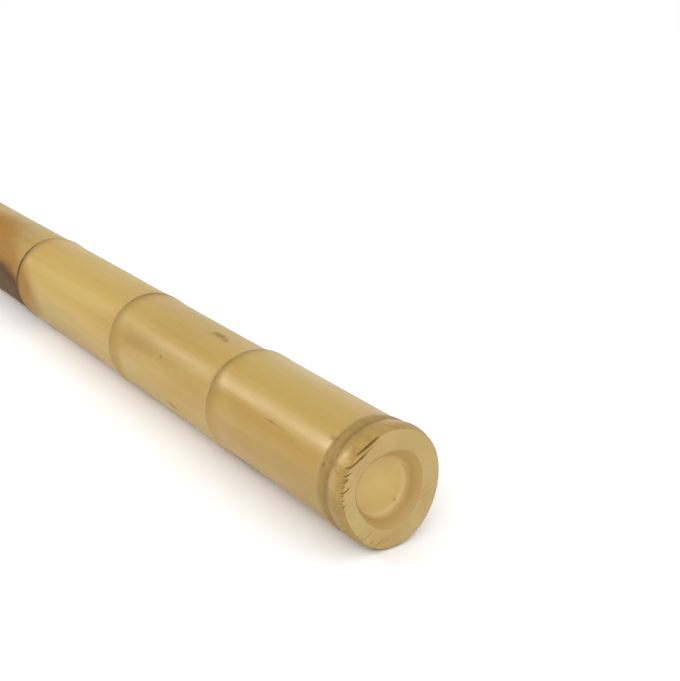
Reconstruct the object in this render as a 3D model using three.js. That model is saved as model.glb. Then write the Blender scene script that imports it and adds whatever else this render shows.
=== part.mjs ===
import { Group, LatheGeometry, Mesh, MeshStandardMaterial, Vector2 } from 'three';

// A length of dried bamboo, sawn square at both ends and lying along X on the plane Z = 0.
// The root end is at +X and the tip end at -X. All sizes are in millimetres.

// Driving dimensions. Distances along the cane start at the root end.
const caneLength = 1200;
const rootRadius = 22.5;
const tipRadius = 21.5;
const sideBow = 4;
const widthOverHeight = 1.008;

// The scar rings where the sheaths grew, after the one by the root end. The lengths between them
// grow towards the tip.
const scarDistances = [96.8, 189.3, 303.6, 438, 558, 695, 837, 983, 1132];

// One node in profile: a flare up to the scar, a sharp step down past it, then a low ridge.
const flareLength = 14;
const flareHeight = 1.2;
const flareBendLength = 5.6;
const flareBendHeight = 0.6;
const stepLength = 1.8;
const ridgeHeight = 0.5;
const ridgeMiddleHeight = 0.4;
const ridgeLength = 24;

// The first node is cut through by the saw: a round collar, a shallow valley and its scar's ridge.
const collarCrest = 4.6;
const collarHeight = 1.15;
const valleyDistance = 9.4;
const valleyHeight = 0.25;
const rootRidgeCrest = 12.2;
const rootRidgeHeight = 0.55;
const rootRidgeEnd = 15.5;

// The root end opens on a shallow cup, whose floor is the first node's own partition.
const cupRadius = 15.1;
const cupWallRadius = 14.7;
const cupWallDepth = 4;
const cupFilletRadius = 13.8;
const cupFilletDepth = 6.6;
const cupFloorRadius = 11.7;
const cupFloorDepth = 7.8;
const cupCentreDepth = 8.3;

// The tip end is an open tube as deep as the last node's partition.
const boreRadius = 16;
const boreFilletRadius = 12.5;
const boreFilletLength = 3.5;
const boreDepth = 60;
const boreCentreDepth = 61;

// Around the axis: an even number of facets, turned so that one lies flat on the ground.
const facets = 36;
const facetTurn = Math.PI / facets;

function internodeRadius(distance) {
  return rootRadius + (tipRadius - rootRadius) * distance / caneLength;
}

function skinPoint(distance, height) {
  return new Vector2(internodeRadius(distance) + height, distance);
}

function rootNodeProfile() {
  return [
    skinPoint(collarCrest, collarHeight),
    skinPoint(valleyDistance, valleyHeight),
    skinPoint(rootRidgeCrest, rootRidgeHeight),
    skinPoint(rootRidgeEnd, 0),
  ];
}

function nodeProfile(scar) {
  return [
    skinPoint(scar - flareLength, 0),
    skinPoint(scar - flareBendLength, flareBendHeight),
    skinPoint(scar - stepLength / 2, flareHeight),
    skinPoint(scar + stepLength / 2, ridgeHeight),
    skinPoint(scar + ridgeLength / 2, ridgeMiddleHeight),
    skinPoint(scar + ridgeLength, 0),
  ];
}

// The whole outline, from the middle of the cup's floor, over the skin, to the end of the bore.
function caneProfile() {
  const cup = [
    new Vector2(0, cupCentreDepth),
    new Vector2(cupFloorRadius, cupFloorDepth),
    new Vector2(cupFilletRadius, cupFilletDepth),
    new Vector2(cupWallRadius, cupWallDepth),
    new Vector2(cupRadius, 0),
  ];
  const skin = [
    skinPoint(0, 0),
    ...rootNodeProfile(),
    ...scarDistances.flatMap(nodeProfile),
    skinPoint(caneLength, 0),
  ];
  const bore = [
    new Vector2(boreRadius, caneLength),
    new Vector2(boreRadius, caneLength - boreDepth + boreFilletLength),
    new Vector2(boreFilletRadius, caneLength - boreDepth),
    new Vector2(0, caneLength - boreCentreDepth),
  ];
  return [...cup, ...skin, ...bore];
}

// A cane is never quite straight or round: it bows sideways and is a little wider than high.
function bend(geometry) {
  const position = geometry.getAttribute('position');
  for (let i = 0; i < position.count; i += 1) {
    const fromMiddle = position.getX(i) / (caneLength / 2);
    const bow = sideBow * (1 - fromMiddle * fromMiddle);
    position.setY(i, position.getY(i) * widthOverHeight + bow);
  }
}

// Lays the solid on the ground with the middle of its bounding box over the origin.
function layDown(geometry) {
  geometry.computeBoundingBox();
  const { min, max } = geometry.boundingBox;
  geometry.translate(-(min.x + max.x) / 2, -(min.y + max.y) / 2, -min.z);
}

function makeCane() {
  const geometry = new LatheGeometry(caneProfile(), facets, facetTurn);
  geometry.rotateZ(Math.PI / 2);
  geometry.translate(caneLength / 2, 0, 0);
  bend(geometry);
  layDown(geometry);
  const material = new MeshStandardMaterial({ color: 0xc4a569, roughness: 0.38, metalness: 0 });
  const cane = new Mesh(geometry, material);
  cane.name = 'bamboo_cane';
  return cane;
}

const group = new Group();
group.add(makeCane());

export default group;
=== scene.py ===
import math

import bmesh
import bpy
from mathutils import Matrix, Vector, noise


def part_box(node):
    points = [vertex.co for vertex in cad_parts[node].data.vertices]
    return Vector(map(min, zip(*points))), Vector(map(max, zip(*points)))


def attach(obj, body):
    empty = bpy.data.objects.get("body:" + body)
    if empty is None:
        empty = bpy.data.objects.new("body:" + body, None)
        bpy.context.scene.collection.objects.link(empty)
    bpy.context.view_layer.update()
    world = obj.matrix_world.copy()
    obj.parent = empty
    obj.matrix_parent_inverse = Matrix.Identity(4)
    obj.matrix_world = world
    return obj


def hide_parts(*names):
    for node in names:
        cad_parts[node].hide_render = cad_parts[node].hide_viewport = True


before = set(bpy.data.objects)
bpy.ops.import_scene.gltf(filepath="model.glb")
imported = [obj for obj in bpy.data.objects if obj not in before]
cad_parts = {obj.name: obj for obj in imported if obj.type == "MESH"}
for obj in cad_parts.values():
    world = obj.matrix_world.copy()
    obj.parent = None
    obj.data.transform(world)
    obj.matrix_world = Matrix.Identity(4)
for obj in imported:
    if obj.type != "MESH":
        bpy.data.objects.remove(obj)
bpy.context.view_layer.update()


# ---------------------------------------------------------------- camera
# Stands a little above the cane and in front of its root end, looking back along it at 35 degrees.
# The root end is in the right half of the frame and the cane runs out of it at the left.
VIEW_AZIMUTH = math.radians(54.73)
VIEW_ELEVATION = math.radians(20.5)
LENS_MM = 66.5
END_DISTANCE = 0.4522
END_TO_THE_RIGHT = 0.0186
END_BELOW_THE_MIDDLE = 0.0538
NEAREST_SEEN, FARTHEST_SEEN = 0.02, 60
AXIS_SIDE_STEP = -0.0017
AXIS_HEIGHT = 0.0243

cane_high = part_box("bamboo_cane")[1]
root_end = Vector((cane_high[0], AXIS_SIDE_STEP, AXIS_HEIGHT))

look = Vector((
    -math.sin(VIEW_AZIMUTH) * math.cos(VIEW_ELEVATION),
    math.cos(VIEW_AZIMUTH) * math.cos(VIEW_ELEVATION),
    -math.sin(VIEW_ELEVATION),
))
right = Vector((math.cos(VIEW_AZIMUTH), math.sin(VIEW_AZIMUTH), 0))
up = right.cross(look)
turn = Matrix((right, up, -look)).transposed().to_4x4()
camera_place = root_end - END_TO_THE_RIGHT * right + END_BELOW_THE_MIDDLE * up
camera_place -= END_DISTANCE * look

camera_data = bpy.data.cameras.new("camera")
camera_data.lens = LENS_MM
camera_data.clip_start = NEAREST_SEEN
camera_data.clip_end = FARTHEST_SEEN
camera = bpy.data.objects.new("camera", camera_data)
camera.matrix_world = Matrix.Translation(camera_place) @ turn
bpy.context.scene.collection.objects.link(camera)
bpy.context.scene.camera = camera


# ---------------------------------------------------------------- studio
# A plain white table under a white tent that lights it from overhead and less from the left.
# One soft box behind and to the left draws the long highlight, another in front fills the sawn end.
TABLE_COLOUR = "fafafa"
TABLE_SIZE = 30
TENT_STRENGTH = 1.12
TENT_DIM_STRENGTH = 0.35
TENT_DIM_AZIMUTH = math.radians(-155)
TENT_DIM_FROM, TENT_DIM_FULL = 0.45, 0.9
SOFT_BOXES = (
    # name, azimuth and elevation as seen from the root end, distance, width, height, watts
    ("back_soft_box", -147, 27, 1.1, 0.18, 0.22, 3.0),
    ("front_soft_box", -40, 40, 1.6, 0.60, 0.60, 6.0),
)


def linear(hex_colour):
    """An sRGB hex colour as the linear colour that a shader takes."""
    channels = [int(hex_colour[k:k + 2], 16) / 255 for k in (0, 2, 4)]
    return [c / 12.92 if c <= 0.04045 else ((c + 0.055) / 1.055) ** 2.4 for c in channels] + [1.0]


def add(tree, kind, inputs=None, **settings):
    """Adds one node with its settings. An input takes a value, a socket or a node's main output."""
    node = tree.nodes.new(kind)
    for key, value in settings.items():
        setattr(node, key, value)
    for key, value in (inputs or {}).items():
        named = [socket for socket in node.inputs if socket.enabled and socket.name == key]
        socket = named[0] if named else node.inputs[key]
        if isinstance(value, bpy.types.Node):
            value = next(output for output in value.outputs if output.enabled)
        if isinstance(value, bpy.types.NodeSocket):
            tree.links.new(value, socket)
        else:
            socket.default_value = value
    return node


def new_material(name):
    material = bpy.data.materials.new(name)
    material.use_nodes = True
    material.node_tree.nodes.clear()
    return material


def matt_white_table():
    material = new_material("matt_white_laminate")
    tree = material.node_tree
    shader = add(tree, "ShaderNodeBsdfPrincipled", {
        "Base Color": linear(TABLE_COLOUR), "Roughness": 0.85, "Specular IOR Level": 0.2,
    })
    add(tree, "ShaderNodeOutputMaterial", {"Surface": shader})
    return material


table_shape = bmesh.new()
bmesh.ops.create_grid(table_shape, x_segments=1, y_segments=1, size=TABLE_SIZE / 2)
table_mesh = bpy.data.meshes.new("table_top")
table_shape.to_mesh(table_mesh)
table_shape.free()
table_mesh.materials.append(matt_white_table())
table_top = bpy.data.objects.new("table_top", table_mesh)
bpy.context.scene.collection.objects.link(table_top)

tent = bpy.data.worlds.new("white_tent")
tent.use_nodes = True
tent_tree = tent.node_tree
tent_tree.nodes.clear()
tent_direction = add(tent_tree, "ShaderNodeTexCoord").outputs["Generated"]
towards_dim_side = add(tent_tree, "ShaderNodeVectorMath", {
    0: tent_direction, 1: (math.cos(TENT_DIM_AZIMUTH), math.sin(TENT_DIM_AZIMUTH), 0),
}, operation="DOT_PRODUCT")
tent_strength = add(tent_tree, "ShaderNodeMapRange", {
    "Value": towards_dim_side, "From Min": TENT_DIM_FROM, "From Max": TENT_DIM_FULL,
    "To Min": TENT_STRENGTH, "To Max": TENT_DIM_STRENGTH,
}, interpolation_type="SMOOTHSTEP")
plain_behind = add(tent_tree, "ShaderNodeMix", {
    "Factor": add(tent_tree, "ShaderNodeLightPath").outputs["Is Camera Ray"],
    "A": tent_strength, "B": TENT_STRENGTH,
}, data_type="FLOAT")
tent_light = add(tent_tree, "ShaderNodeBackground", {"Color": (1, 1, 1, 1), "Strength": plain_behind})
add(tent_tree, "ShaderNodeOutputWorld", {"Surface": tent_light})
bpy.context.scene.world = tent
bpy.context.scene.view_settings.view_transform = "Standard"

for name, azimuth, elevation, distance, width, height, watts in SOFT_BOXES:
    azimuth, elevation = math.radians(azimuth), math.radians(elevation)
    towards = Vector((
        math.cos(azimuth) * math.cos(elevation),
        math.sin(azimuth) * math.cos(elevation),
        math.sin(elevation),
    ))
    box_light = bpy.data.lights.new(name, "AREA")
    box_light.shape = "RECTANGLE"
    box_light.size = width
    box_light.size_y = height
    box_light.energy = watts
    soft_box = bpy.data.objects.new(name, box_light)
    soft_box.location = root_end + towards * distance
    soft_box.rotation_euler = towards.to_track_quat("Z", "Y").to_euler()
    bpy.context.scene.collection.objects.link(soft_box)


# ---------------------------------------------------------------- cane
# One length of dried bamboo: a hard waxy skin over a thick woody wall, with a scar ring and a
# swelling at every node. It was sawn square at both ends with a coarse hand saw, which opened a
# shallow cup at the root end and a tube at the tip end. All its sizes are in millimetres.
MM = 0.001
LENGTH = 1200
ROOT_RADIUS = 22.5
TIP_RADIUS = 21.5
SIDE_BOW = 4
ROUND_STEPS = 160

# Where each scar ring is from the root end, how far it leans and towards which angle round the
# cane, how dark its line and the painted shade by it are and at which angle darkest, how proud its
# swelling stands, and the radius and tone of the internode beyond it. Angle 0 is +Y and 90 is up.
SCARS = (
    (13.6, 0.3, 135, 0.42, 130, 0.85, 22.5, 1.08),
    (96.8, 0.8, 110, 0.56, 95, 0.80, 22.0, 1.12),
    (189.3, 1.3, 105, 0.60, 80, 0.70, 22.0, 1.18),
    (303.6, 2.6, 118, 1.45, 206, 0.75, 21.7, 1.06),
    (438, 1.5, 300, 0.85, 20, 1.00, 21.9, 1.05),
    (558, 2.0, 60, 0.75, 200, 0.90, 21.6, 1.14),
    (695, 1.2, 190, 0.95, 90, 0.95, 21.8, 1.00),
    (837, 2.2, 20, 0.80, 310, 0.85, 21.5, 1.10),
    (983, 1.6, 250, 0.90, 150, 0.95, 21.6, 1.04),
    (1132, 1.4, 100, 0.75, 240, 0.90, 21.5, 1.12),
)
SCAR_LEAST_DARK = 0.12
SCAR_BLEND = 2
GIRTH_BLEND = 5

# A ring's line also wanders along the cane: each row is how far in mm, and how quickly.
RING_WANDER = ((0.7, 1.3), (0.25, 4.1))
RING_WANDER_STEP = 3.7

# The cane stands on the round of its root end, so from the second node on it lies a little lower.
DROP = 1.05
DROP_START = 88
DROP_LENGTH = 16

# One node in profile: a flare up to the scar, a step down past it, then a low ridge.
NODE_REACH = 30
FLARE_LENGTH = 12
FLARE_HEIGHT = 0.95
UNDERSIDE_FLARE = 0.3
STEP_LENGTH = 3.6
RIDGE_HEIGHT = 0.3
RIDGE_CREST = 5
RIDGE_CREST_HALF_LENGTH = 4
RIDGE_CREST_HEIGHT = 0.16
RIDGE_END = 27
SCAR_GROOVE_WIDTH = 0.9
SCAR_GROOVE_DEPTH = 0.05

# The first node is cut through: a round collar by the rim, a shallow valley and a narrow ridge.
COLLAR_MIDDLE = 4.6
COLLAR_HALF_LENGTH = 6.1
COLLAR_HEIGHT = 1.15
COLLAR_RIDGE_MIDDLE = 12.1
COLLAR_RIDGE_HALF_LENGTH = 3.0
COLLAR_RIDGE_HEIGHT = 0.58

# The root end is not quite round, and the rest is slightly oval and swells a little here and
# there. Each wave: how many round the cane, height, where it is highest.
ROOT_WAVES = ((1, 0.47, -33), (2, 0.95, -74), (3, 0.56, 37))
ROOT_WAVES_LENGTH = 13
CUP_WAVES = ((2, 0.46, 126), (3, 0.55, 40))
CANE_OVALITY = 0.008
SWELL_SHARE = 0.004
SWELL_LENGTH = 70
SWELL_ROUND = 1.2

# The cup in the root end narrows to a dished floor that sits a little low. The bore in the tip
# end is round, with the next partition across its bottom.
CUP_FLOOR_DEPTH = 8.0
CUP_DISH = 0.5
CUP_FLOOR_RADIUS = 9.6
CUP_FILLET = 2.3
CUP_MOUTH_RADIUS = 15.3
CUP_MOUTH_SHIFT = Vector((-0.65, -0.45))
CUP_FLOOR_SHIFT = Vector((0.3, -2.4))
CUP_BLEND_RADII = (16, 19.5)
BORE_RADIUS = 16
BORE_DEPTH = 60
BORE_FILLET = 3.5
BORE_FLOOR_DISH = ((0.6, 8), (1, 4), (1.1, 0))
EDGE_ROUND = 0.25
EDGE_MIDDLE = 0.07
MOUTH_EDGE_MIDDLE = 0.08
ROOT_FACE_RADII = (17.2, 19, 20.8)
TIP_FACE_RADII = (19.4, 17.8)
WALL_MIDDLE_RADIUS = 18
WALL_WAVE_BLEND = 4
SKIN_LEAST_RADIUS = 21.4

# The skin's mesh rings, measured from a scar, and how far apart they are on the collar and on
# the plain skin between the nodes.
NEAR_SCAR = (-15, -12, -9.5, -7.5, -6, -4.6, -3.4, -2.4, -1.6, -1, -0.5, -0.25, 0, 0.25,
             0.5, 0.85, 1.3, 1.8, 2.6, 3.6, 4.8, 6.2, 8, 10.5, 13.5, 17, 21, 26)
COLLAR_STATION_STEP = 0.75
COLLAR_STATIONS = 25
SCAR_GROOVE_GAP = 0.6
PLAIN_STATION_STEP = 9

SKIN, SAWN, LINING, KERF = range(4)


def smooth(t):
    t = min(max(t, 0), 1)
    return t * t * (3 - 2 * t)


def hump(distance, half_length):
    """1 in the middle, 0 from half_length outwards, and level at both."""
    return smooth(1 - abs(distance) / half_length)


def internode_radius(along):
    """Radius of the plain skin, which changes a little from each internode to the next."""
    radius = ROOT_RADIUS
    for scar, *_, beyond, _ in SCARS:
        radius += (beyond - radius) * smooth((along - scar) / GIRTH_BLEND + 0.5)
    return radius


def axis_at(along):
    """Where the middle of the cane is in Y and Z at this place."""
    from_middle = 2 * along / LENGTH - 1
    bow = SIDE_BOW * (1 - from_middle * from_middle)
    drop = DROP * smooth((along - DROP_START) / DROP_LENGTH)
    return AXIS_SIDE_STEP / MM + bow, AXIS_HEIGHT / MM - drop


def waves(table, angle):
    return sum(height * math.cos(count * (angle - math.radians(top))) for count, height, top in table)


def nearest_scar(along):
    return min(range(len(SCARS)), key=lambda i: abs(along - SCARS[i][0]))


def ring_lean(index, angle, from_scar):
    """How far the ring's line has wandered along the cane at this angle."""
    scar, lean, lean_angle = SCARS[index][:3]
    reach = min(NODE_REACH, scar * 0.8)
    spot = Vector((math.cos(angle), math.sin(angle), index * RING_WANDER_STEP))
    wander = sum(height * noise.noise(spot * pace) for height, pace in RING_WANDER)
    return (lean * math.cos(angle - math.radians(lean_angle)) + wander) * hump(from_scar, reach)


def node_height(index, from_scar, angle):
    """How far the skin stands proud of the internode, from_scar being positive towards the tip."""
    scar, proud = SCARS[index][0], SCARS[index][5] * (1 - UNDERSIDE_FLARE * math.sin(angle))
    groove = SCAR_GROOVE_DEPTH * hump(from_scar, SCAR_GROOVE_WIDTH)
    if index == 0:
        along = scar + from_scar
        collar = COLLAR_HEIGHT * hump(along - COLLAR_MIDDLE, COLLAR_HALF_LENGTH)
        ridge = COLLAR_RIDGE_HEIGHT * hump(along - COLLAR_RIDGE_MIDDLE, COLLAR_RIDGE_HALF_LENGTH)
        return math.hypot(collar, ridge) - groove
    if from_scar <= 0:
        return proud * FLARE_HEIGHT * smooth(1 + from_scar / FLARE_LENGTH) - groove
    step = (FLARE_HEIGHT - RIDGE_HEIGHT) * smooth(1 - from_scar / STEP_LENGTH)
    shelf = RIDGE_HEIGHT * smooth((RIDGE_END - from_scar) / (RIDGE_END - RIDGE_CREST))
    crest = RIDGE_CREST_HEIGHT * hump(from_scar - RIDGE_CREST, RIDGE_CREST_HALF_LENGTH)
    return proud * (step + shelf + crest) - groove


def skin_stations():
    """Places along the cane for the skin's rings: close together at a node, wide apart between."""
    first, *others = [row[0] for row in SCARS]
    collar = [k * COLLAR_STATION_STEP for k in range(1, COLLAR_STATIONS + 1)]
    close = [along for along in collar if abs(along - first) > SCAR_GROOVE_GAP]
    close += [first + d for d in NEAR_SCAR if abs(d) < SCAR_GROOVE_GAP]
    for scar in others:
        close += [scar + d for d in NEAR_SCAR]
    close.sort()
    ends = [EDGE_ROUND, *close, LENGTH - EDGE_ROUND]
    stations = [ends[0]]
    for previous, following in zip(ends, ends[1:]):
        gaps = max(1, round((following - previous) / PLAIN_STATION_STEP))
        stations += [previous + (following - previous) * k / gaps for k in range(1, gaps + 1)]
    return stations


def quarter_round(corner_along, corner_radius, size, steps, bend):
    """Points of a rounded inside corner, from the floor's side to the wall's side."""
    for k in range(steps + 1):
        a = math.pi / 2 * k / steps
        yield corner_along - bend * size * (1 - math.cos(a)), corner_radius - size * (1 - math.sin(a))


def cane_outline():
    """The whole profile as (along, radius), from the cup's floor over the skin into the bore."""
    cup = [(CUP_FLOOR_DEPTH + CUP_DISH * (1 - k * k / 16), CUP_FLOOR_RADIUS * k / 4) for k in range(4)]
    cup += quarter_round(CUP_FLOOR_DEPTH, CUP_FLOOR_RADIUS + CUP_FILLET, CUP_FILLET, 8, 1)
    foot_along, foot_radius = cup[-1]
    widening = CUP_MOUTH_RADIUS - foot_radius
    wall = [(foot_along * (1 - k / 4), foot_radius + widening * k / 4) for k in range(1, 4)]
    mouth = [
        (EDGE_ROUND, CUP_MOUTH_RADIUS),
        (EDGE_MIDDLE, CUP_MOUTH_RADIUS + MOUTH_EDGE_MIDDLE),
        (0, CUP_MOUTH_RADIUS + EDGE_ROUND),
    ]
    root_face = [(0, radius) for radius in ROOT_FACE_RADII]
    root_face += [(0, ROOT_RADIUS - EDGE_ROUND), (EDGE_MIDDLE, ROOT_RADIUS - EDGE_MIDDLE)]
    skin = [(along, internode_radius(along)) for along in skin_stations()]
    tip_face = [(LENGTH - EDGE_MIDDLE, TIP_RADIUS - EDGE_MIDDLE), (LENGTH, TIP_RADIUS - EDGE_ROUND)]
    tip_face += [(LENGTH, radius) for radius in TIP_FACE_RADII]
    tip_face += [(LENGTH, BORE_RADIUS + EDGE_ROUND)]
    bore = [(LENGTH - EDGE_ROUND - k * (BORE_DEPTH - BORE_FILLET) / 8, BORE_RADIUS) for k in range(8)]
    floor_along = LENGTH - BORE_DEPTH
    bore += reversed(list(quarter_round(floor_along, BORE_RADIUS, BORE_FILLET, 6, -1)))
    bore += [(floor_along - dish, radius) for dish, radius in BORE_FLOOR_DISH]
    return cup + wall + mouth + root_face + skin + tip_face + bore


def zone_of(along, radius):
    """Which finish a place on the profile has."""
    if radius > SKIN_LEAST_RADIUS and EDGE_ROUND < along < LENGTH - EDGE_ROUND:
        return SKIN
    if along <= EDGE_ROUND * 0.6 or along >= LENGTH - EDGE_ROUND * 0.6:
        return SAWN
    return SKIN if radius > WALL_MIDDLE_RADIUS else LINING


def natural_form(vertex):
    """Turns a place on the plain spun shape into its place on the grown, bowed cane."""
    along = LENGTH / 2 - vertex.co.x
    radius = math.hypot(vertex.co.y, vertex.co.z)
    angle = math.atan2(vertex.co.z, vertex.co.y)
    spot = (along / SWELL_LENGTH, SWELL_ROUND * math.cos(angle), SWELL_ROUND * math.sin(angle))
    swell = 1 + CANE_OVALITY * math.cos(2 * angle + math.pi) + SWELL_SHARE * noise.noise(spot)
    y_axis, z_axis = axis_at(along)
    if radius > SKIN_LEAST_RADIUS and EDGE_ROUND <= along <= LENGTH - EDGE_ROUND:
        index = nearest_scar(along)
        from_scar = along - SCARS[index][0]
        rim_wave = waves(ROOT_WAVES, angle) * smooth(1 - along / ROOT_WAVES_LENGTH)
        radius += node_height(index, from_scar, angle) + rim_wave
        along += ring_lean(index, angle, from_scar)
    elif along < CUP_FLOOR_DEPTH + 1:
        cup_only, wall_only = CUP_BLEND_RADII
        nearness = smooth((wall_only - radius) / (wall_only - cup_only))
        depth_share = smooth(along / CUP_FLOOR_DEPTH)
        shift = CUP_MOUTH_SHIFT.lerp(CUP_FLOOR_SHIFT, depth_share) * nearness
        y_axis += shift.x
        z_axis += shift.y
        radius += waves(CUP_WAVES, angle) * nearness * (1 - depth_share)
        radius += waves(ROOT_WAVES, angle) * smooth((radius - WALL_MIDDLE_RADIUS) / WALL_WAVE_BLEND)
    vertex.co = Vector((
        LENGTH / 2 - along,
        y_axis + radius * swell * math.cos(angle),
        z_axis + radius * swell * math.sin(angle),
    ))


def spin_cane():
    shape = bmesh.new()
    outline = [shape.verts.new((LENGTH / 2 - along, 0, radius)) for along, radius in cane_outline()]
    edges = [shape.edges.new(pair) for pair in zip(outline, outline[1:])]
    bmesh.ops.spin(
        shape, geom=outline + edges, cent=(0, 0, 0), axis=(1, 0, 0),
        angle=math.tau, steps=ROUND_STEPS, use_merge=True,
    )
    bmesh.ops.remove_doubles(shape, verts=shape.verts, dist=0.001)
    for face in shape.faces:
        middle = face.calc_center_median()
        face.material_index = zone_of(LENGTH / 2 - middle.x, math.hypot(middle.y, middle.z))
        face.smooth = True
    for vertex in shape.verts:
        natural_form(vertex)
    bmesh.ops.recalc_face_normals(shape, faces=shape.faces)
    return shape


def store(shape, name):
    """Puts a shape made in millimetres into the scene, in metres."""
    bmesh.ops.scale(shape, vec=(MM, MM, MM), verts=shape.verts)
    mesh = bpy.data.meshes.new(name)
    shape.to_mesh(mesh)
    shape.free()
    made = bpy.data.objects.new(name, mesh)
    bpy.context.scene.collection.objects.link(made)
    return made


# The saw's teeth tore the rim where the cut began: kerfs side by side, all along the blade's
# line, each deepest at the rim and running out across the sawn face.
BLADE_ANGLE = math.radians(27.4)
KERFS = (
    # distance from the axis across the blade's line, middle and half length along it, width, depth
    (22.2, -0.6, 6.8, 1.35, 2.9),
    (20.1, -8.6, 7.4, 0.95, 2.2),
    (20.6, -2.0, 5.0, 0.45, 0.5),
    (18.3, -13.0, 2.8, 0.75, 1.4),
    (17.4, -14.2, 1.6, 0.6, 1.0),
    (16.7, -15.0, 2.8, 0.7, 1.3),
    (15.3, -16.5, 1.6, 0.55, 0.9),
    (13.5, -17.4, 4.6, 0.75, 1.5),
    (12.6, -18.4, 1.6, 0.75, 1.2),
    (10.9, -19.2, 2.0, 0.5, 0.8),
    (8.6, -20.2, 2.6, 0.6, 1.0),
    (6.4, -21.0, 1.8, 0.4, 0.6),
    (-6.4, -21.0, 2.2, 0.4, 0.5),
    (-8.6, -19.4, 1.4, 0.3, 0.3),
    (-9.6, -17.6, 3.1, 0.3, 0.3),
    (-13.0, -16.6, 1.7, 0.4, 0.4),
    (-15.8, -14.2, 3.4, 0.3, 0.35),
    (-17.3, -11.2, 1.2, 0.25, 0.2),
)
KERF_SEGMENTS = 16
KERF_PASSES = 3
KERF_SUNK, KERF_HEIGHT = 0.35, 1.3
KERF_BOTTOM_SHARE, KERF_TOP_SHARE = 0.3, 1.1


def kerf_blades(kerfs):
    """The wedges that cut these kerfs, as one mesh: pointed ovals that narrow towards the bottom."""
    shape = bmesh.new()
    blade_line = Matrix.Rotation(BLADE_ANGLE, 4, "X")
    stand = Matrix.Rotation(math.pi / 2, 4, "Y")
    axis = Vector((LENGTH / 2, *axis_at(0)))
    for offset, middle, half_length, width, depth in kerfs:
        along_blade = Matrix.Translation((-depth * KERF_SUNK, middle, offset))
        size = Matrix.Diagonal((depth * KERF_HEIGHT, half_length, width / 2, 1))
        bmesh.ops.create_cone(
            shape, cap_ends=True, segments=KERF_SEGMENTS,
            radius1=KERF_BOTTOM_SHARE, radius2=KERF_TOP_SHARE, depth=1,
            matrix=Matrix.Translation(axis) @ blade_line @ along_blade @ size @ stand,
        )
    for face in shape.faces:
        face.material_index = KERF
    bmesh.ops.recalc_face_normals(shape, faces=shape.faces)
    return shape


def cut_kerfs(cane, kerfs):
    blades = store(kerf_blades(kerfs), "saw_kerfs")
    cut = cane.modifiers.new("kerfs", "BOOLEAN")
    cut.operation = "DIFFERENCE"
    cut.solver = "EXACT"
    cut.object = blades
    blades.data.materials.clear()
    for material in cane.data.materials:
        blades.data.materials.append(material)
    ready = cane.evaluated_get(bpy.context.evaluated_depsgraph_get())
    cane.data = bpy.data.meshes.new_from_object(ready)
    cane.modifiers.clear()
    bpy.data.objects.remove(blades)


def rest_on_table(mesh):
    lowest = min(vertex.co.z for vertex in mesh.vertices)
    mesh.transform(Matrix.Translation((0, 0, -lowest)))


# Where the skin was toasted brown or smoked grey as the cane was cured over a fire, where it dried
# an olive straw, and where it is a little darker, in part painted shade over a highlight: place
# along the cane, angle round it, half length, half width in degrees, and strength.
TOASTED = (
    (8, 85, 11, 60, 0.4),
    (362, 150, 44, 74, 1.0),
    (322, 176, 30, 44, 1.0),
    (293, 190, 20, 42, 0.6),
    (186, 188, 8, 44, 0.4),
    (94, 160, 7, 30, 0.35),
    (442, 40, 30, 90, 0.6),
    (550, 250, 22, 70, 0.5),
    (575, 120, 34, 60, 0.7),
    (690, 330, 20, 80, 0.5),
    (712, 200, 30, 70, 0.55),
    (850, 90, 40, 55, 0.6),
    (975, 10, 22, 90, 0.5),
    (1000, 170, 44, 60, 0.75),
    (1125, 280, 18, 90, 0.45),
    (1150, 60, 30, 60, 0.5),
    (240, 300, 46, 50, 0.3),
    (60, 320, 36, 50, 0.25),
)
SMOKED = (
    (322, 204, 24, 46, 0.95),
    (346, 200, 26, 38, 0.8),
    (340, 147, 18, 22, 0.2),
    (366, 218, 30, 26, 0.7),
    (340, 232, 30, 24, 0.55),
    (590, 95, 26, 34, 0.22),
    (865, 70, 30, 30, 0.25),
    (1015, 190, 34, 34, 0.25),
)
OLIVE = (
    (58, 102, 66, 44, 1.0),
    (245, 125, 66, 70, 0.85),
    (150, 262, 50, 60, 0.5),
    (385, 60, 50, 60, 0.6),
    (500, 200, 60, 70, 0.7),
    (630, 90, 60, 60, 0.6),
    (770, 300, 70, 70, 0.7),
    (910, 140, 70, 60, 0.6),
    (1060, 40, 70, 80, 0.6),
)
SHADED = (
    # painted shade that dims the highlight between the second and third nodes
    (150, 147, 60, 16, 0.08),
    (22, 197, 22, 34, 0.10),
    (258, 197, 58, 32, 0.12),
    (350, 118, 36, 50, 0.14),
    (480, 300, 60, 60, 0.10),
    (760, 160, 50, 50, 0.10),
    (1080, 220, 50, 60, 0.10),
)
# A patch fades out from its middle to this many times its size.
PATCH_EDGE = 1.3


def patch_strength(patches, along, angle):
    total = 0
    for patch_along, patch_angle, half_length, half_width, strength in patches:
        turned = (math.degrees(angle) - patch_angle + 180) % 360 - 180
        distance = math.hypot((along - patch_along) / half_length, turned / half_width)
        total += strength * smooth(PATCH_EDGE - distance)
    return min(total, 1)


# The smoke stops sharply at a scar ring, and leaves the skin just before it clean this far.
SMOKE_GAP = 25
NODE_FADE = 4
SKIN_MARKS = ("from_scar", "near_scar", "scar_dark", "tone", "toasted", "smoked", "olive")


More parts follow.
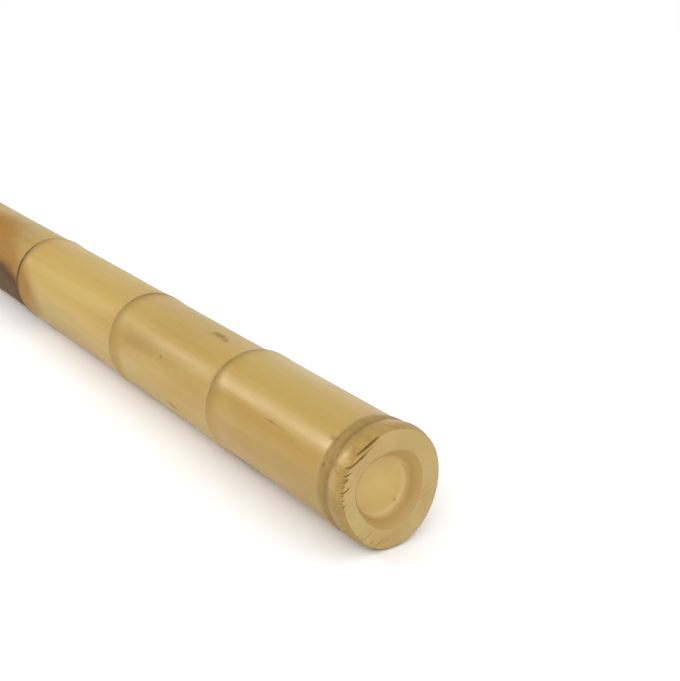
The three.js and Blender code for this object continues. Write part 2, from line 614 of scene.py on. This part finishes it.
def mark_skin(mesh):
    """Stores on each vertex where it is from its scar ring, how dark its ring and the painted shade
    there are, and its colour.
    """
    rows = []
    for vertex in mesh.vertices:
        x, y, z = vertex.co / MM
        along = LENGTH / 2 - x
        y_axis, z_axis = axis_at(along)
        angle = math.atan2(z - z_axis, y - y_axis)
        index = nearest_scar(along)
        darkness, dark_side = SCARS[index][3:5]
        round_ring = 0.5 + 0.5 * math.cos(angle - math.radians(dark_side))
        from_scar = along - SCARS[index][0]
        from_scar -= ring_lean(index, angle, from_scar)
        tone_before, tone_beyond = SCARS[max(index - 1, 0)][7], SCARS[index][7]
        tone = tone_before + (tone_beyond - tone_before) * smooth(from_scar / SCAR_BLEND + 0.5)
        shielded = smooth(1 + from_scar / SMOKE_GAP) if from_scar < 0 else 0
        rows.append((
            from_scar,
            smooth((NODE_REACH - abs(from_scar)) / NODE_FADE),
            darkness * max(round_ring, SCAR_LEAST_DARK),
            tone * (1 - patch_strength(SHADED, along, angle)),
            patch_strength(TOASTED, along, angle),
            patch_strength(SMOKED, along, angle) * (1 - shielded),
            patch_strength(OLIVE, along, angle),
        ))
    for name, values in zip(SKIN_MARKS, zip(*rows)):
        mesh.attributes.new(name, "FLOAT", "POINT").data.foreach_set("value", values)


# The skin. Cured bamboo has a hard, waxy, semi-gloss rind with long fibres just under it, golden
# with straw and green-grey in it, browner at the nodes. IOR 1.5 as wax and cellulose have.
GOLD = "9c7b3a"
STRAW = "a38848"
DEEP_GOLD = "8e6d2f"
GREEN_GREY = "937e3e"
OLIVE_STRAW = "a38845"
TOAST = "8c6014"
SCORCH = "42250a"
SMOKE = "4e3d1e"
SCAR_BROWN = "55390f"
NODE_SHADE = "755e28"
FLECK_BROWN = "5f4f22"
FLECK_ORANGE = "74501c"
PAINTED_HIGHLIGHT_PALE = "b89a62"
RIND_SHEEN = "fff4d8"
RIND_CLOUDS = {
    # length along the fibres and width across them in mm, shift in the noise, detail, roughness
    "mottle": (70, 16, 0, 3, 0.5),
    "depth": (90, 22, 5, 3, 0.5),
    "green": (120, 30, 11, 3, 0.5),
    "streak": (130, 3.5, 71, 3, 0.6),
    "fibre": (60, 0.9, 3, 2, 0.6),
    "scorch": (24, 9, 17, 4, 0.6),
    "haze": (46, 5, 61, 4, 0.65),
    "wobble": (6, 3, 23, 3, 0.5),
    "broken": (9, 4, 31, 3, 0.6),
    "torn": (10, 2, 53, 4, 0.6),
    "ragged": (1.6, 0.8, 83, 2, 0.5),
    "gloss": (40, 12, 41, 3, 0.5),
    "dents": (18, 7, 47, 3, 0.5),
}
RIND_GRADES = {
    # name: cloud, where it starts and ends, and the value at each
    "fibres": ("fibre", 0.25, 0.75, 0.97, 1.025),
    "streaks": ("streak", 0.25, 0.75, 0.965, 1.03),
    "broken": ("broken", 0.36, 0.56, 0.45, 1),
    "wear": ("torn", 0.3, 0.7, 0.15, 0.5),
    "roughness": ("gloss", 0.3, 0.7, 0.32, 0.42),
}
RIND_LAYERS = (
    # cloud, where it starts and is full, most strength, colour
    ("mottle", 0.35, 0.65, 1.0, STRAW),
    ("depth", 0.5, 0.75, 0.45, DEEP_GOLD),
    ("green", 0.48, 0.75, 0.6, GREEN_GREY),
)
RIND_BURNS = (
    # mark, cloud that frays it and how much, where it starts and is full, how much it dulls, colour
    ("toasted", "scorch", 0.5, 0.3, 1.2, 0.4, TOAST),
    ("smoked", "haze", 0.6, 0.32, 0.95, 0.5, SCORCH),
    ("smoked", "haze", 0.8, 0.95, 1.45, 0.3, SMOKE),
)
RING_SHADES = (
    # name, measure, where it begins, is full, begins to fade and ends, what limits it, most
    # strength, colour
    ("blush", "from_scar", -12, -1, -0.6, 0.3, ("near_ring",), 0.45, DEEP_GOLD),
    ("collar", "from_end", -2, -1, 11, 15, ("wear",), 1.0, NODE_SHADE),
    # painted shade on the skin's rounded shoulder just before each scar ring
    ("shoulder_shade", "from_scar", -6.5, -0.6, 0.4, 1.6, ("near_ring",), 0.85, NODE_SHADE),
    # the scar's brown line, widened and darkened where the ring is darkest into painted shadow under
    # the scar's ledge
    ("line", "reach", -1.5, -0.5, 0.4, 1.1, ("near_ring", "scar_dark", "broken"), 1.3, SCAR_BROWN),
    ("valley", "from_end", 7.4, 9.3, 9.7, 11.4, ("broken", "scar_dark"), 1.05, SCAR_BROWN),
    ("ridge_foot", "from_end", 14.4, 15.0, 15.2, 16.0, ("broken",), 0.35, NODE_SHADE),
)
RING_WAVER = 0.9
RIM_WAVER = 1.6
LEAST_LINE_WIDTH = 0.45
SPOT_DEPTH = 12
SPOT_RAGGED = 0.9
SPOT_STARTS, SPOT_FULL = 1.4, 0.7
# Pale patches painted where highlights fall: on the first node's collar and on the swelling before the
# second node.
PAINTED_HIGHLIGHTS = (
    # along, angle round the cane, half length, half width, strength, colour
    (4.4, 139, 4.5, 5.5, 0.8, PAINTED_HIGHLIGHT_PALE),
    (5.5, 160, 4.0, 6.0, 0.4, PAINTED_HIGHLIGHT_PALE),
    (6.0, 78, 5.0, 8.0, 0.6, PAINTED_HIGHLIGHT_PALE),
    (93, 128, 3.0, 6.0, 0.3, PAINTED_HIGHLIGHT_PALE),
)
FLECKS = (
    # the same
    (123, 90.5, 8, 2.4, 0.6, FLECK_BROWN),
    (116.5, 93.5, 3.5, 1.8, 0.5, FLECK_BROWN),
    (142.6, 150.5, 2.2, 1.5, 0.45, FLECK_BROWN),
    (50, 146.3, 13, 0.8, 0.3, FLECK_ORANGE),
    (51.3, 145.5, 1.8, 1.0, 0.45, FLECK_ORANGE),
    (36, 150.5, 2.0, 0.9, 0.25, FLECK_ORANGE),
    (13.4, 152.6, 1.3, 1.2, 1.0, FLECK_BROWN),
    (132.6, 201.5, 7.0, 2.4, 0.4, FLECK_BROWN),
    (15.5, 128, 4.0, 1.6, 0.4, FLECK_BROWN),
)
# Past the second node the skin was handled less and is a little duller: where that starts and is
# full, and by how much.
UNHANDLED = (88, 110, 0.05)
BURNT_ROUGHER = 0.4
COLLAR_ROUGHER = 0.06
FIBRE_RELIEF = 0.2
RELIEF_MM = 0.1
RELIEF_STRENGTH = 0.35
RIND_IOR = 1.5


def waxy_bamboo_rind():
    material = new_material("waxy_bamboo_rind")
    tree = material.node_tree
    place = add(tree, "ShaderNodeTexCoord").outputs["Object"]
    measure = {
        name: add(tree, "ShaderNodeAttribute", attribute_name=name).outputs["Fac"]
        for name in SKIN_MARKS
    }
    cloud = {}
    for name, (length, width, shift, detail, roughness) in RIND_CLOUDS.items():
        stretched = add(tree, "ShaderNodeMapping", {
            "Vector": place, "Location": (shift, shift, shift),
            "Scale": (1 / (length * MM), 1 / (width * MM), 1 / (width * MM)),
        })
        cloud[name] = add(tree, "ShaderNodeTexNoise", {
            "Vector": stretched, "Scale": 1, "Detail": detail, "Roughness": roughness,
        })
    for name, (cloud_name, starts, ends, low, high) in RIND_GRADES.items():
        measure[name] = add(tree, "ShaderNodeMapRange", {
            "Value": cloud[cloud_name], "From Min": starts, "From Max": ends,
            "To Min": low, "To Max": high,
        }, interpolation_type="SMOOTHSTEP")

    colour = linear(GOLD)
    for name, starts, full, most, layer_colour in RIND_LAYERS:
        strength = add(tree, "ShaderNodeMapRange", {
            "Value": cloud[name], "From Min": starts, "From Max": full, "To Max": most,
        }, interpolation_type="SMOOTHSTEP")
        colour = add(tree, "ShaderNodeMix", {
            "Factor": strength, "A": colour, "B": linear(layer_colour),
        }, data_type="RGBA")
    colour = add(tree, "ShaderNodeMix", {
        "Factor": measure["olive"], "A": colour, "B": linear(OLIVE_STRAW),
    }, data_type="RGBA")
    shade = measure["tone"]
    for stripes in ("fibres", "streaks"):
        shade = add(tree, "ShaderNodeMath", {0: shade, 1: measure[stripes]}, operation="MULTIPLY")
    colour = add(tree, "ShaderNodeMix", {
        "Factor": 1.0, "A": colour, "B": shade,
    }, data_type="RGBA", blend_type="MULTIPLY")

    dull = 0
    for name, fraying, fray, starts, full, dulling, burn_colour in RIND_BURNS:
        frayed = add(tree, "ShaderNodeMath", {
            0: cloud[fraying], 1: fray, 2: measure[name],
        }, operation="MULTIPLY_ADD")
        burnt = add(tree, "ShaderNodeMapRange", {
            "Value": frayed, "From Min": starts, "From Max": full,
        }, interpolation_type="SMOOTHSTEP")
        colour = add(tree, "ShaderNodeMix", {
            "Factor": burnt, "A": colour, "B": linear(burn_colour),
        }, data_type="RGBA")
        dull = add(tree, "ShaderNodeMath", {0: burnt, 1: dulling, 2: dull}, operation="MULTIPLY_ADD")

    wander = add(tree, "ShaderNodeMath", {0: cloud["wobble"], 1: 0.5}, operation="SUBTRACT")
    measure["from_scar"] = add(tree, "ShaderNodeMath", {
        0: wander, 1: RING_WAVER, 2: measure["from_scar"],
    }, operation="MULTIPLY_ADD")
    end_distance = add(tree, "ShaderNodeMath", {
        0: add(tree, "ShaderNodeSeparateXYZ", {"Vector": place}), 1: -1 / MM, 2: LENGTH / 2,
    }, operation="MULTIPLY_ADD")
    measure["from_end"] = add(tree, "ShaderNodeMath", {
        0: wander, 1: RIM_WAVER, 2: end_distance,
    }, operation="MULTIPLY_ADD")
    measure["near_ring"] = add(tree, "ShaderNodeMath", {
        0: measure["near_scar"], 1: measure["scar_dark"],
    }, operation="MULTIPLY")
    line_width = add(tree, "ShaderNodeMath", {
        0: measure["scar_dark"], 1: LEAST_LINE_WIDTH,
    }, operation="ADD")
    measure["reach"] = add(tree, "ShaderNodeMath", {
        0: measure["from_scar"], 1: line_width,
    }, operation="DIVIDE")
    for name, along, begins, full, fades, ends, limits, most, shade_colour in RING_SHADES:
        rise = add(tree, "ShaderNodeMapRange", {
            "Value": measure[along], "From Min": begins, "From Max": full, "To Max": most,
        }, interpolation_type="SMOOTHSTEP")
        fall = add(tree, "ShaderNodeMapRange", {
            "Value": measure[along], "From Min": ends, "From Max": fades,
        }, interpolation_type="SMOOTHSTEP")
        strength = add(tree, "ShaderNodeMath", {0: rise, 1: fall}, operation="MULTIPLY")
        measure[name] = strength
        for limit in limits:
            strength = add(tree, "ShaderNodeMath", {
                0: strength, 1: measure[limit],
            }, operation="MULTIPLY")
        if name not in ("blush", "collar"):
            dull = add(tree, "ShaderNodeMath", {0: dull, 1: strength}, operation="MAXIMUM")
        colour = add(tree, "ShaderNodeMix", {
            "Factor": strength, "A": colour, "B": linear(shade_colour),
        }, data_type="RGBA")

    for along, angle, half_length, half_width, most, spot_colour in PAINTED_HIGHLIGHTS + FLECKS:
        y_axis, z_axis = axis_at(along)
        turned = add(tree, "ShaderNodeVectorRotate", {
            "Vector": place, "Center": (0, y_axis * MM, z_axis * MM),
            "Angle": math.radians(90 - angle),
        }, rotation_type="X_AXIS")
        middle = (LENGTH / 2 - along, y_axis, z_axis + internode_radius(along))
        size = (half_length, half_width, SPOT_DEPTH)
        scaled = add(tree, "ShaderNodeMapping", {
            "Vector": turned,
            "Scale": [1 / (MM * s) for s in size],
            "Location": [-c / s for c, s in zip(middle, size)],
        })
        distance = add(tree, "ShaderNodeVectorMath", {0: scaled}, operation="LENGTH")
        ragged = add(tree, "ShaderNodeMath", {
            0: cloud["ragged"], 1: SPOT_RAGGED, 2: distance,
        }, operation="MULTIPLY_ADD")
        strength = add(tree, "ShaderNodeMapRange", {
            "Value": ragged, "From Min": SPOT_STARTS, "From Max": SPOT_FULL, "To Max": most,
        }, interpolation_type="SMOOTHSTEP")
        colour = add(tree, "ShaderNodeMix", {
            "Factor": strength, "A": colour, "B": linear(spot_colour),
        }, data_type="RGBA")
        # Flecks dull the skin; the painted highlights keep its gloss.
        if spot_colour != PAINTED_HIGHLIGHT_PALE:
            dull = add(tree, "ShaderNodeMath", {0: dull, 1: strength}, operation="MAXIMUM")

    duller_from, duller_full, duller = UNHANDLED
    unhandled = add(tree, "ShaderNodeMapRange", {
        "Value": end_distance, "From Min": duller_from, "From Max": duller_full, "To Max": duller,
    }, interpolation_type="SMOOTHSTEP")
    roughness = add(tree, "ShaderNodeMath", {
        0: measure["roughness"], 1: unhandled,
    }, operation="ADD")
    for rough_part, rougher in ((dull, BURNT_ROUGHER), (measure["collar"], COLLAR_ROUGHER)):
        roughness = add(tree, "ShaderNodeMath", {
            0: rough_part, 1: rougher, 2: roughness,
        }, operation="MULTIPLY_ADD")
    relief = cloud["dents"]
    for height, share in ((cloud["fibre"], FIBRE_RELIEF), (cloud["torn"], measure["collar"])):
        relief = add(tree, "ShaderNodeMath", {
            0: height, 1: share, 2: relief,
        }, operation="MULTIPLY_ADD")
    bump = add(tree, "ShaderNodeBump", {
        "Height": relief, "Strength": RELIEF_STRENGTH, "Distance": RELIEF_MM * MM,
    })
    shader = add(tree, "ShaderNodeBsdfPrincipled", {
        "Base Color": colour, "Roughness": roughness, "IOR": RIND_IOR,
        "Specular Tint": linear(RIND_SHEEN), "Normal": bump,
    })
    add(tree, "ShaderNodeOutputMaterial", {"Surface": shader})
    return material


# The sawn end. Pale, dry woody wall, matt from the saw, with the ends of the fibre bundles as
# small dots, and faint lines where the teeth passed.
SAWN_PALE = "ae975e"
SAWN_WARM = "aa8c54"
SAWN_GREEN = "a69257"
BUNDLE_BROWN = "937440"
SAWN_LAYERS = (
    # size along and across the cane in mm, where it starts and is full, most strength, colour
    (12, 12, 0.35, 0.65, 1.0, SAWN_PALE),
    (20, 15, 0.45, 0.7, 0.6, SAWN_GREEN),
)
BUNDLE_SPACING_MM = 0.8
BUNDLE_STRETCH = 11
TOOTH_MARK_MM = (30.303, 26.316, 1.4)
BUNDLE_MARK = (0.42, 0.2, 0.16)
TOOTH_MARK = (0.55, 0.75, 0.35)
SAWN_RELIEF_MM = 0.12
SAWN_ROUGHNESS = 0.62


def sawn_bamboo_wall():
    material = new_material("sawn_bamboo_wall")
    tree = material.node_tree
    place = add(tree, "ShaderNodeTexCoord").outputs["Object"]
    colour = linear(SAWN_WARM)
    for length, width, starts, full, most, layer_colour in SAWN_LAYERS:
        stretched = add(tree, "ShaderNodeMapping", {
            "Vector": place, "Scale": (1 / (length * MM), 1 / (width * MM), 1 / (width * MM)),
        })
        patches = add(tree, "ShaderNodeTexNoise", {"Vector": stretched, "Scale": 1, "Detail": 3})
        strength = add(tree, "ShaderNodeMapRange", {
            "Value": patches, "From Min": starts, "From Max": full, "To Max": most,
        }, interpolation_type="SMOOTHSTEP")
        colour = add(tree, "ShaderNodeMix", {
            "Factor": strength, "A": colour, "B": linear(layer_colour),
        }, data_type="RGBA")

    spacing = 1 / (BUNDLE_SPACING_MM * MM)
    packed = add(tree, "ShaderNodeMapping", {
        "Vector": place, "Scale": (spacing / BUNDLE_STRETCH, spacing, spacing),
    })
    bundles = add(tree, "ShaderNodeTexVoronoi", {"Vector": packed, "Scale": 1, "Randomness": 0.8})
    along_blade = add(tree, "ShaderNodeVectorRotate", {
        "Vector": place, "Angle": -BLADE_ANGLE,
    }, rotation_type="X_AXIS")
    combed = add(tree, "ShaderNodeMapping", {
        "Vector": along_blade, "Scale": [1 / (size * MM) for size in TOOTH_MARK_MM],
    })
    teeth = add(tree, "ShaderNodeTexNoise", {"Vector": combed, "Scale": 1, "Detail": 4})
    for marks, (starts, full, most) in ((bundles, BUNDLE_MARK), (teeth, TOOTH_MARK)):
        strength = add(tree, "ShaderNodeMapRange", {
            "Value": marks, "From Min": starts, "From Max": full, "To Max": most,
        }, interpolation_type="SMOOTHSTEP")
        colour = add(tree, "ShaderNodeMix", {
            "Factor": strength, "A": colour, "B": linear(BUNDLE_BROWN),
        }, data_type="RGBA")
    height = add(tree, "ShaderNodeMath", {0: teeth, 1: bundles}, operation="ADD")
    bump = add(tree, "ShaderNodeBump", {
        "Height": height, "Strength": 0.5, "Distance": SAWN_RELIEF_MM * MM,
    })
    shader = add(tree, "ShaderNodeBsdfPrincipled", {
        "Base Color": colour, "Roughness": SAWN_ROUGHNESS, "IOR": 1.5, "Normal": bump,
    })
    add(tree, "ShaderNodeOutputMaterial", {"Surface": shader})
    return material


# The lining of the hollow. A smooth, papery membrane over soft pith, golden on the partition,
# painted paler where it turns up as a painted highlight round the fillet, and browner on the wall,
# with a dull sheen.
LINING_GOLD = "c3a763"
LINING_PAINTED_HIGHLIGHT = "cbb27a"
LINING_BROWN = "ae9058"
LINING_TURNS = (
    # distance from the root end in mm where it starts and is full, colour
    # painted highlight round the fillet where the partition turns up
    (8.3, 7.2, LINING_PAINTED_HIGHLIGHT),
    (6.2, 4.2, LINING_BROWN),
)
LINING_STAIN_MM = (3.846, 9.09, 9.09)
LINING_RELIEF_MM = 0.2
LINING_ROUGHNESS = 0.45
# One small chip on the partition: across and up from the axis in mm, radius, strength, colour.
CHIP = (7.5, -9.4, 0.6, 0.6, TOAST)


def papery_lining():
    material = new_material("papery_bamboo_lining")
    tree = material.node_tree
    place = add(tree, "ShaderNodeTexCoord").outputs["Object"]
    from_end = add(tree, "ShaderNodeMath", {
        0: add(tree, "ShaderNodeSeparateXYZ", {"Vector": place}), 1: -1 / MM, 2: LENGTH / 2,
    }, operation="MULTIPLY_ADD")
    colour = linear(LINING_GOLD)
    for starts, full, turn_colour in LINING_TURNS:
        strength = add(tree, "ShaderNodeMapRange", {
            "Value": from_end, "From Min": starts, "From Max": full,
        }, interpolation_type="SMOOTHSTEP")
        colour = add(tree, "ShaderNodeMix", {
            "Factor": strength, "A": colour, "B": linear(turn_colour),
        }, data_type="RGBA")
    stretched = add(tree, "ShaderNodeMapping", {
        "Vector": place, "Scale": [1 / (size * MM) for size in LINING_STAIN_MM],
    })
    patches = add(tree, "ShaderNodeTexNoise", {"Vector": stretched, "Scale": 1, "Detail": 4})
    shade = add(tree, "ShaderNodeMapRange", {
        "Value": patches, "From Min": 0.35, "From Max": 0.7, "To Max": 0.4,
    })
    colour = add(tree, "ShaderNodeMix", {
        "Factor": shade, "A": colour, "B": linear(LINING_BROWN),
    }, data_type="RGBA")
    chip_y, chip_z, chip_radius, chip_strength, chip_colour = CHIP
    y_axis, z_axis = axis_at(CUP_FLOOR_DEPTH)
    chip_middle = Vector((LENGTH / 2 - CUP_FLOOR_DEPTH, y_axis + chip_y, z_axis + chip_z)) * MM
    chip_distance = add(tree, "ShaderNodeVectorMath", {
        0: place, 1: chip_middle,
    }, operation="DISTANCE")
    chip = add(tree, "ShaderNodeMapRange", {
        "Value": chip_distance, "To Max": chip_strength,
        "From Min": chip_radius * 1.5 * MM, "From Max": chip_radius * 0.5 * MM,
    }, interpolation_type="SMOOTHSTEP")
    colour = add(tree, "ShaderNodeMix", {
        "Factor": chip, "A": colour, "B": linear(chip_colour),
    }, data_type="RGBA")
    bump = add(tree, "ShaderNodeBump", {
        "Height": patches, "Strength": 0.3, "Distance": LINING_RELIEF_MM * MM,
    })
    shader = add(tree, "ShaderNodeBsdfPrincipled", {
        "Base Color": colour, "Roughness": LINING_ROUGHNESS, "IOR": 1.5, "Normal": bump,
    })
    add(tree, "ShaderNodeOutputMaterial", {"Surface": shader})
    return material


# Inside a kerf the fibres are torn and matt, and painted dark brown as the shade deep in the narrow
# cut.
KERF_BROWN = "2c1b08"
KERF_MOTTLE_BROWN = "523a18"
KERF_MOTTLE_MM = 1.1


def torn_fibre_painted_dark():
    material = new_material("torn_fibre_painted_dark")
    tree = material.node_tree
    place = add(tree, "ShaderNodeTexCoord").outputs["Object"]
    # mottles the painted dark brown of the kerf
    kerf_mottle = add(tree, "ShaderNodeTexNoise", {
        "Vector": place, "Scale": 1 / (KERF_MOTTLE_MM * MM), "Detail": 3,
    })
    colour = add(tree, "ShaderNodeMix", {
        "Factor": kerf_mottle, "A": linear(KERF_BROWN), "B": linear(KERF_MOTTLE_BROWN),
    }, data_type="RGBA")
    shader = add(tree, "ShaderNodeBsdfPrincipled", {
        "Base Color": colour, "Roughness": 0.85, "IOR": 1.5,
    })
    add(tree, "ShaderNodeOutputMaterial", {"Surface": shader})
    return material


# Edges sharper than this are drawn crisp: the rims, and the lips of the kerfs.
CRISP_ANGLE = math.radians(38)

cane = store(spin_cane(), "cane")
for finish in (waxy_bamboo_rind(), sawn_bamboo_wall(), papery_lining(), torn_fibre_painted_dark()):
    cane.data.materials.append(finish)
for first in range(KERF_PASSES):
    cut_kerfs(cane, KERFS[first::KERF_PASSES])
mark_skin(cane.data)
rest_on_table(cane.data)
cane.data.set_sharp_from_angle(angle=CRISP_ANGLE)
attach(cane, "root")
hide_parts("bamboo_cane")
